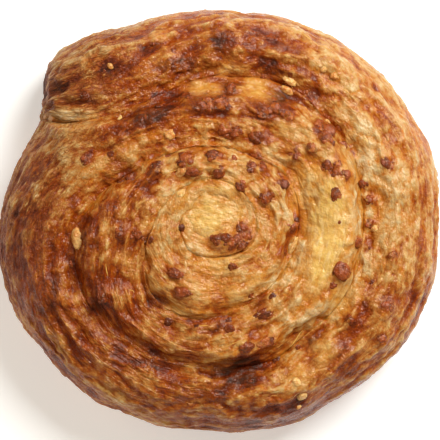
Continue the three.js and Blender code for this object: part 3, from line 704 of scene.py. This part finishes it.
# browned lumps, each a ball with smaller ones set into its side, loose ones, and cream bits
def makeCrumbs(doughPoints, doughNormals):
    draw = np.random.default_rng(crumbs["seed"])
    main = np.array(crumbs["browned"], float) * np.array([1, 1, crumbs["scale"], crumbs["scale"]])
    each = crumbs["satellites"]
    angle = draw.uniform(0, 2 * np.pi, (len(main), each))
    off = main[:, None, 2:4] * crumbs["satelliteOffset"] * np.stack([np.cos(angle), np.sin(angle)], -1)
    small = main[:, None, 2:4] * draw.uniform(*crumbs["satelliteSize"], (len(main), each, 1))
    satellites = np.concatenate([main[:, None, :2] + off, small], -1).reshape(-1, 4)
    # loose small ones, thickest over the middle and the north
    loose = draw.uniform(-56, 56, (4000, 2))
    far = np.hypot(loose[:, 0] - axisX, loose[:, 1] - axisY)
    inner = 0.3 + 0.7 * smooth(loose[:, 1] + 0.4 * loose[:, 0], -20, 15)
    likely = np.where(far < 40, inner, 0.12) * (far < 48)
    loose = loose[draw.uniform(0, 1, len(loose)) < likely][:crumbs["scattered"]]
    # and more in the browned places away from the rim
    dark = np.array(dough["browned"])
    dark = dark[dark[:, 4] >= 0.6]
    dark = np.repeat(dark[np.hypot(dark[:, 0] - axisX, dark[:, 1] - axisY) < 47], crumbs["perPatch"], 0)
    loose = np.concatenate([loose, dark[:, :2] + draw.normal(0, 0.3, (len(dark), 2)) * dark[:, 2:4]])
    size = draw.uniform(*crumbs["looseSize"], (len(loose), 1)) * np.ones((1, 2))
    places = np.concatenate([main, satellites, np.concatenate([loose, size], 1)])
    spots, normals, ways = onTop(places, doughPoints, doughNormals)
    high = places[:, 2:].min(1, keepdims=True) * crumbs["flatness"]
    sizes = np.concatenate([places[:, 2:], high * 1.3], 1)
    bakes = draw.uniform(*crumbs["bakes"], len(places)) - crumbs["eastPaler"] * smooth(places[:, 0], 8, 24)
    bakes[len(bakes) - len(dark):] += crumbs["patchDarker"]
    spots = spots - normals * (sizes[:, 2:] * crumbs["sink"])
    browned = blobs("brownedCrumbs", spots, normals, ways, sizes, bakes,
                    crumbs["rings"], crumbs["spokes"], crumbs["dent"])

    places = np.array(crumbs["cream"], float)
    spots, normals, ways = onTop(places, doughPoints, doughNormals)
    sizes = np.concatenate([places[:, 2:], places[:, 3:] * crumbs["creamHeight"]], 1)
    spots = spots - normals * crumbs["creamSink"]
    creamBakes = draw.uniform(*crumbs["creamBakes"], len(places))
    cream = blobs("creamBits", spots, normals, ways, sizes, creamBakes,
                  crumbs["creamRings"], crumbs["creamSpokes"], crumbs["creamDent"])
    print("crumbs", len(places), "cream,", len(bakes), "browned")
    return browned, cream


# Threads

threads = {
    "count": 30, "shortest": 2.5, "longest": 7.0, "thin": 0.1, "thick": 0.22, "sink": 0.08,
    "rows": 16, "ring": 5, "seed": 3, "bakes": (0.25, 0.5),
}


# pulled threads: a small circle carried along a wandering line on the dough, tapering to both ends
def makeThreads(doughPoints, doughNormals):
    draw = np.random.default_rng(threads["seed"])
    rows, ring = doughPoints.shape[:2]
    many = threads["count"] * 6
    row, column = draw.uniform(30, rows - 30, many), draw.uniform(0, ring, many)
    start = doughPoints[row.astype(int), column.astype(int)]
    facing = doughNormals[row.astype(int), column.astype(int), 2] > 0.2
    east = smooth(start[:, 0] + 0.2 * start[:, 1], -45, 30)
    chosen = facing & (draw.uniform(0, 1, many) < 0.15 + 0.85 * east)
    row, column = row[chosen][:threads["count"]], column[chosen][:threads["count"]]
    count = len(row)
    length = draw.uniform(threads["shortest"], threads["longest"], count) / dough["step"]
    share = np.linspace(0, 1, threads["rows"])[None, :]
    r = np.clip(row[:, None] + length[:, None] * (share - 0.5), 0, rows - 2)
    wander = noise(share * 1.4 + np.arange(count)[:, None] * 9.1, 0.5, 0, 12) - 0.5
    c = (column[:, None] + 8 * wander + draw.uniform(-3, 3, (count, 1)) * share) % ring
    i, j = np.floor(r).astype(int), np.floor(c).astype(int)
    f, g = (r - i)[..., None], (c - j)[..., None]
    between = lambda grid: ((grid[i, j % ring] * (1 - g) + grid[i, (j + 1) % ring] * g) * (1 - f)
                            + (grid[i + 1, j % ring] * (1 - g) + grid[i + 1, (j + 1) % ring] * g) * f)
    line, normal = between(doughPoints), between(doughNormals)
    along = np.gradient(line, axis=1)
    along = along / np.maximum(np.linalg.norm(along, axis=-1, keepdims=True), 1e-9)
    side = np.cross(normal, along)
    taper = np.sin(np.pi * (0.04 + 0.92 * share)) ** 0.6
    thickness = draw.uniform(threads["thin"], threads["thick"], (count, 1)) * taper
    angle = np.linspace(0, 2 * np.pi, threads["ring"], endpoint=False)
    circle = side[:, :, None] * np.cos(angle)[:, None] + normal[:, :, None] * np.sin(angle)[:, None]
    points = line[:, :, None] - normal[:, :, None] * threads["sink"] + circle * thickness[:, :, None, None]
    quads, triangles = tubeFaces(threads["rows"], threads["ring"])
    each = threads["rows"] * threads["ring"] + 2
    body = np.concatenate([points.reshape(count, -1, 3), line[:, [0, -1]]], 1)
    offset = (np.arange(count) * each)[:, None, None]
    bake = np.repeat(draw.uniform(*threads["bakes"], count), each)
    print("threads", count)
    return meshPiece("pulledThreads", body.reshape(-1, 3), (quads[None] + offset).reshape(-1, 4),
                     (triangles[None] + offset).reshape(-1, 3), {"bake": bake})


# Materials

# a linear colour from one given in 0 to 255
def tint(r, g, b):
    c = np.array([r, g, b]) / 255
    return (*np.where(c <= 0.04045, c / 12.92, ((c + 0.055) / 1.055) ** 2.4), 1.0)


# a shader socket that takes part in Python sums, each operator adding a Math node
class Wire:
    def __init__(self, tree, socket=None):
        self.tree = tree
        self.socket = socket

    # any node: its type, its settings, set first, then values or links for its sockets, and the output read
    def node(self, kind, settings, sockets, out=0):
        made = self.tree.nodes.new("ShaderNode" + kind)
        for key, value in settings.items():
            if key == "stops":
                ramp = made.color_ramp.elements
                while len(ramp) < len(value):
                    ramp.new(1.0)
                for element, (place, colour) in zip(ramp, value):
                    element.position = place
                    element.color = colour
            else:
                setattr(made, key, value)
        for key, value in sockets.items():
            if isinstance(value, Wire):
                self.tree.links.new(value.socket, made.inputs[key])
            else:
                made.inputs[key].default_value = value
        return Wire(self.tree, made.outputs[out])

    def maths(self, operation, *others):
        return self.node("Math", {"operation": operation}, dict(enumerate((self, *others))))

    def clipped(self):
        return self.maths("MAXIMUM", 0.0).maths("MINIMUM", 1.0)

    def __add__(self, other):
        return self.maths("ADD", other)

    def __sub__(self, other):
        return self.maths("SUBTRACT", other)

    def __rsub__(self, other):
        return self.node("Math", {"operation": "SUBTRACT"}, {0: other, 1: self})

    def __mul__(self, other):
        return self.maths("MULTIPLY", other)

    __radd__ = __add__
    __rmul__ = __mul__


# a material whose surface is what a function makes from a wire
def newMaterial(name, shader):
    material = bpy.data.materials.new(name)
    material.use_nodes = True
    tree = material.node_tree
    tree.nodes.clear()
    output = tree.nodes.new("ShaderNodeOutputMaterial")
    tree.links.new(shader(Wire(tree)).socket, output.inputs["Surface"])
    print("material", name, len(tree.nodes), "nodes")
    return material


# what lies under every baked surface
inside = {
    "Subsurface Scale": 0.0008, "Subsurface Radius": (1.0, 0.72, 0.5), "Coat Roughness": 0.2,
    "Specular Tint": (1.0, 0.9, 0.78, 1),
}


# the shader of a baked surface, with its look's gloss and softness
def bakedShader(wire, look, colour, rough, bump):
    sockets = {"Base Color": colour, "Roughness": rough, "Normal": bump,
               "Specular IOR Level": look["specular"], "Coat Weight": look["coat"],
               "Subsurface Weight": look["subsurface"], **inside}
    return wire.node("BsdfPrincipled", {}, sockets)


# noise in all directions, with grain of a size in millimetres
def speckle(wire, size, detail):
    place = wire.node("TexCoord", {}, {}, "Object")
    return wire.node("TexNoise", {}, {"Vector": place, "Scale": 1000 / size, "Detail": detail}, "Fac")


def attribute(wire, name):
    return wire.node("Attribute", {"attribute_name": name}, {}, "Fac")


crust = {
    "stops": [(0.0, tint(228, 209, 174)), (0.22, tint(209, 181, 131)), (0.42, tint(199, 152, 86)),
              (0.54, tint(175, 112, 48)), (0.65, tint(150, 79, 22)), (0.8, tint(116, 50, 10)),
              (1.0, tint(70, 28, 6))],
    # tints that multiply the ramp's colour: caramel with painted warm shade in the hollows, and dust with a
    # painted grey sheen on the dry side
    "caramelAndShadeTint": tint(240, 186, 104)[:3], "dustAndSheen": (0.92, 1.0, 1.22),
    # cheese that has run over the dough, and the cream of its streaks, partly painted highlights
    "yellow": tint(230, 186, 98), "orange": tint(205, 143, 58), "cream": tint(238, 208, 148),
    "roughness": 0.2, "specular": 0.31, "coat": 0.03, "subsurface": 0.5,
    # grain in millimetres, along and across the strip
    "blotch": (3.2, 2.3), "wrinkle": (1.8, 1.1), "amber": (6, 3), "blister": (3.6, 1.9),
    "fleck": (2.4, 0.7), "toast": (5.0, 2.8), "strand": (8.0, 0.9), "sheet": (20.0, 3.0),
    "streak": (4.0, 1.2), "crack": (2.4, 1.4),
    # grain in all directions
    "knob": 1.7, "speck": 0.6,
}


# baked dough: the browning attribute, with painted shade and light in it, with blotches, wrinkles, flecks
# and strands read through a ramp, caramel and painted warm shade in the hollows and cheese where it has run
# out
def bakedDough(wire):
    uv = wire.node("UVMap", {"uv_map": "coil"}, {})
    bake, red, cheesy, seam = (attribute(wire, name) for name in ("bake", "red", "cheesy", "seam"))

    def stretch(size):
        return wire.node("Mapping", {}, {"Vector": uv, "Scale": (100 / size[0], 100 / size[1], 1.0)})

    def grain(name, detail, bend):
        sockets = {"Vector": stretch(crust[name]), "Scale": 1.0, "Detail": detail, "Roughness": 0.52,
                   "Distortion": bend}
        return wire.node("TexNoise", {}, sockets, "Fac")

    def blend(share, under, over):
        return wire.node("Mix", {"data_type": "RGBA"}, {"Factor": share, 6: under, 7: over}, 2)

    def tinted(colour, by):
        return wire.node("VectorMath", {"operation": "MULTIPLY"}, {0: colour, 1: by}, "Vector")

    blotch = grain("blotch", 5.0, 1.2)
    wrinkle = grain("wrinkle", 3.0, 0.8)
    amber = (6 * grain("amber", 4.0, 0.8) - 2.8).clipped()
    speck = speckle(wire, crust["speck"], 3.0)
    knob = speckle(wire, crust["knob"], 2.0)
    # painted shade: valley marks the hollows of the knob and wrinkle bump, to be tinted warm and darker
    valley = (2.3 - 3.0 * knob - 1.2 * wrinkle).clipped()
    # blisters: stretched cells whose borders wander
    flat = stretch(crust["blister"])
    stray = wire.node("TexNoise", {}, {"Vector": flat, "Scale": 1.3, "Detail": 2.0}, "Color")
    strayed = wire.node("VectorMath", {"operation": "MULTIPLY_ADD"}, {0: stray, 1: (1.6, 1.6, 0), 2: flat})
    border = wire.node("TexVoronoi", {"feature": "DISTANCE_TO_EDGE", "voronoi_dimensions": "2D"},
                       {"Vector": strayed, "Scale": 1.0}, "Distance")
    dome = (border * 3).clipped()
    # painted shade in the creases at the blisters' borders
    crease = (1 - dome) * (5 * blotch - 1.9).clipped() * (1 - cheesy)
    stain = (0.3 * (blotch - 0.5) + 0.42 * (wrinkle - 0.5)) * (1 - 0.3 * seam)
    # pale flecks along the strip: pale flakes of crust, partly painted glints
    fleck = (8 * grain("fleck", 2.0, 0.6) - 4.7).clipped()
    toast = (5 * grain("toast", 4.0, 1.2) - 2.5).clipped()
    # layers of the dough: strands and low ledges along the strip, pale at their lips, partly a painted
    # highlight
    strand = grain("strand", 2.0, 0.5)
    ledge = (14 * grain("sheet", 3.0, 0.8) - 6.5).clipped()
    lip = 4 * ledge * (1 - ledge)

    # the north-west is dry and cracked, and wears a painted grey sheen, and the layers show most there, on
    # the south-west and on the east
    place = wire.node("TexCoord", {}, {}, "Object")
    east = wire.node("SeparateXYZ", {}, {"Vector": place}, "X")
    north = wire.node("SeparateXYZ", {}, {"Vector": place}, "Y")
    dryAndSheen = (43 * north - 90 * east - 3.5).clipped()
    laid = (-8 * east - 20 * north).clipped() * 0.85 + 0.15
    laid = laid.maths("MAXIMUM", 0.7 * dryAndSheen).maths("MAXIMUM", (60 * east - 2.0).clipped() * 0.6)
    crack = (1 - 13 * (grain("crack", 3.0, 1.0) - 0.5).maths("ABSOLUTE")).clipped() * dryAndSheen

    # dough
    bare = 0.18 * toast - (0.13 + 0.14 * dryAndSheen) * fleck + (0.2 * (strand - 0.5) - 0.08 * lip) * laid
    level = bake + stain + 0.08 * crack + 0.08 * (speck - 0.5) + bare * (1 - cheesy)
    colour = wire.node("ValToRGB", {"stops": crust["stops"]}, {"Fac": level}, "Color")
    halo = 4 * cheesy * (1 - cheesy)
    # caramel and painted shade: amber blotches and the halo round the cheese are caramel, and the hollows,
    # creases, valleys and seams take a warm painted shade
    caramelAndShade = red * 0.5 + amber * 0.45 + crease * 0.5 + seam * 0.5 + halo * 0.3 + valley * 0.6
    colour = blend(caramelAndShade.clipped(), colour, tinted(colour, crust["caramelAndShadeTint"]))
    # cheese, orange with painted shade in its valleys, and cream streaks that are partly painted highlights
    ripeAndShade = 0.75 - 0.9 * cheesy + 2.5 * stain + 0.4 * amber + 0.7 * valley
    melted = blend(ripeAndShade.clipped(), crust["yellow"], crust["orange"])
    melted = blend((5 * grain("streak", 3.0, 1.0) - 2.4).clipped() * 0.75, melted, crust["cream"])
    colour = blend((cheesy * 0.8).clipped(), colour, melted)
    # painted sheen: the dry side takes a grey tint, for dust and a painted sheen
    colour = blend(dryAndSheen, colour, tinted(colour, crust["dustAndSheen"]))

    rough = crust["roughness"] + 0.3 * (speck - 0.5) + 0.25 * dryAndSheen + 0.6 * (level - 0.62).clipped()
    height = 0.2 * speck + 0.6 * knob - 0.3 * stain + 0.1 * dome + (0.35 * strand + 0.22 * ledge) * laid
    height = (height - 0.3 * crack) * (1 - 0.35 * cheesy)
    bump = wire.node("Bump", {}, {"Strength": 1.0, "Distance": 0.001, "Height": height})
    return bakedShader(wire, crust, colour, rough, bump)


# threads of cheese: yellow to brown, a little oily
softCheese = {
    "stops": [(0.0, tint(244, 206, 130)), (0.25, tint(230, 176, 84)), (0.5, tint(196, 118, 46)),
              (0.75, tint(134, 66, 30)), (1.0, tint(74, 36, 20))],
    "roughness": 0.4, "specular": 0.4, "coat": 0.1, "subsurface": 0.25,
    "grain": 1.1, "spots": 0.3, "bump": 0.6, "depth": 0.0006,
}
# crumbs of cheese: cream to reddish brown, with a fine crackle
brownedCheese = {
    "stops": [(0.0, tint(232, 186, 116)), (0.3, tint(200, 122, 50)), (0.55, tint(162, 76, 26)),
              (0.8, tint(118, 46, 10)), (1.0, tint(84, 32, 8))],
    "roughness": 0.22, "specular": 0.45, "coat": 0.06, "subsurface": 0.7,
    "grain": 0.9, "spots": 0.4, "bump": 1.0, "depth": 0.0007,
}


# cheese: the browning attribute with spots read through a look's ramp, and the spots again as bump
def bakedCheese(wire, look):
    spot = speckle(wire, look["grain"], 3.0)
    level = attribute(wire, "bake") + look["spots"] * (spot - 0.5)
    colour = wire.node("ValToRGB", {"stops": look["stops"]}, {"Fac": level}, "Color")
    bump = wire.node("Bump", {}, {"Strength": look["bump"], "Distance": look["depth"], "Height": spot})
    return bakedShader(wire, look, colour, look["roughness"] + 0.3 * (spot - 0.5), bump)


# Putting it together

doughPaint = newMaterial("bakedDough", bakedDough)
threadPaint = newMaterial("meltedCheese", lambda wire: bakedCheese(wire, softCheese))
crumbPaint = newMaterial("brownedCrumb", lambda wire: bakedCheese(wire, brownedCheese))
doughPiece, doughPoints, doughNormals = makeDough()
dress(doughPiece, "dough", doughPaint)
dress(makeFilling(), "cheese_filling", doughPaint)
dress(makeEye(), "cheese_filling", doughPaint)
for crumbPiece in makeCrumbs(doughPoints, doughNormals):
    dress(crumbPiece, "dough", crumbPaint)
dress(makeThreads(doughPoints, doughNormals), "dough", threadPaint)


# Stage: metres

stage = {
    "floorSize": 2.0, "floorColour": tint(230, 229, 226), "floorRoughness": 0.7,
    "floorGlow": (1, 0.99, 0.97, 1), "floorGlowStrength": 0.42,
    "camera": (-0.03, -0.05, 0.95), "target": (0.0, 0.0, 0.012), "lens": 295.0,
    "skyColour": (1.0, 0.84, 0.64, 1), "skyStrength": 0.2,
}
# softboxes: place, what they face, size, watts, colour
softboxes = {
    "keySoftbox": [(0.37, 0.43, 0.67), (0, 0, 0.02), 0.4, 10.2, (0.94, 0.985, 1.0)],
    "leftSoftbox": [(-0.8, 0.25, 0.45), (0, 0, 0.01), 0.7, 2.5, (1.0, 0.84, 0.64)],
    "nearSoftbox": [(0.1, -0.85, 0.4), (0, 0, 0.01), 0.8, 1.5, (1.0, 0.82, 0.6)],
}


def floorPaint(wire):
    sockets = {"Base Color": stage["floorColour"], "Roughness": stage["floorRoughness"],
               "Emission Color": stage["floorGlow"], "Emission Strength": stage["floorGlowStrength"]}
    return wire.node("BsdfPrincipled", {}, sockets)


def makeFloor():
    half = stage["floorSize"] / 2
    corners = [(-half, -half, 0), (half, -half, 0), (half, half, 0), (-half, half, 0)]
    mesh = bpy.data.meshes.new("floor")
    mesh.from_pydata(corners, [], [(0, 1, 2, 3)])
    mesh.materials.append(newMaterial("paleFloor", floorPaint))
    floor = bpy.data.objects.new("floor", mesh)
    bpy.context.scene.collection.objects.link(floor)


def makeSoftbox(name, place, target, size, watts, colour):
    lamp = bpy.data.lights.new(name, "AREA")
    lamp.color = colour
    lamp.size = size
    lamp.energy = watts
    softbox = bpy.data.objects.new(name, lamp)
    softbox.location = place
    softbox.rotation_euler = (Vector(target) - Vector(place)).to_track_quat("-Z", "Y").to_euler()
    bpy.context.scene.collection.objects.link(softbox)


def makeSky():
    world = bpy.data.worlds.new("studio")
    world.use_nodes = True
    background = world.node_tree.nodes["Background"]
    background.inputs["Color"].default_value = stage["skyColour"]
    background.inputs["Strength"].default_value = stage["skyStrength"]
    bpy.context.scene.world = world


# the camera looks at its target with the picture's top towards +Y
def makeCamera():
    cameraData = bpy.data.cameras.new("camera")
    cameraData.lens = stage["lens"]
    camera = bpy.data.objects.new("camera", cameraData)
    camera.location = stage["camera"]
    look = (Vector(stage["target"]) - Vector(stage["camera"])).normalized()
    right = look.cross(Vector((0, 1, 0))).normalized()
    camera.rotation_euler = Matrix((right, right.cross(look), -look)).transposed().to_euler()
    bpy.context.scene.collection.objects.link(camera)
    bpy.context.scene.camera = camera


makeFloor()
for softboxName, softbox in softboxes.items():
    makeSoftbox(softboxName, *softbox)
makeSky()
makeCamera()
bpy.context.scene.view_settings.view_transform = "Standard"
print("stage", len(softboxes), "softboxes")
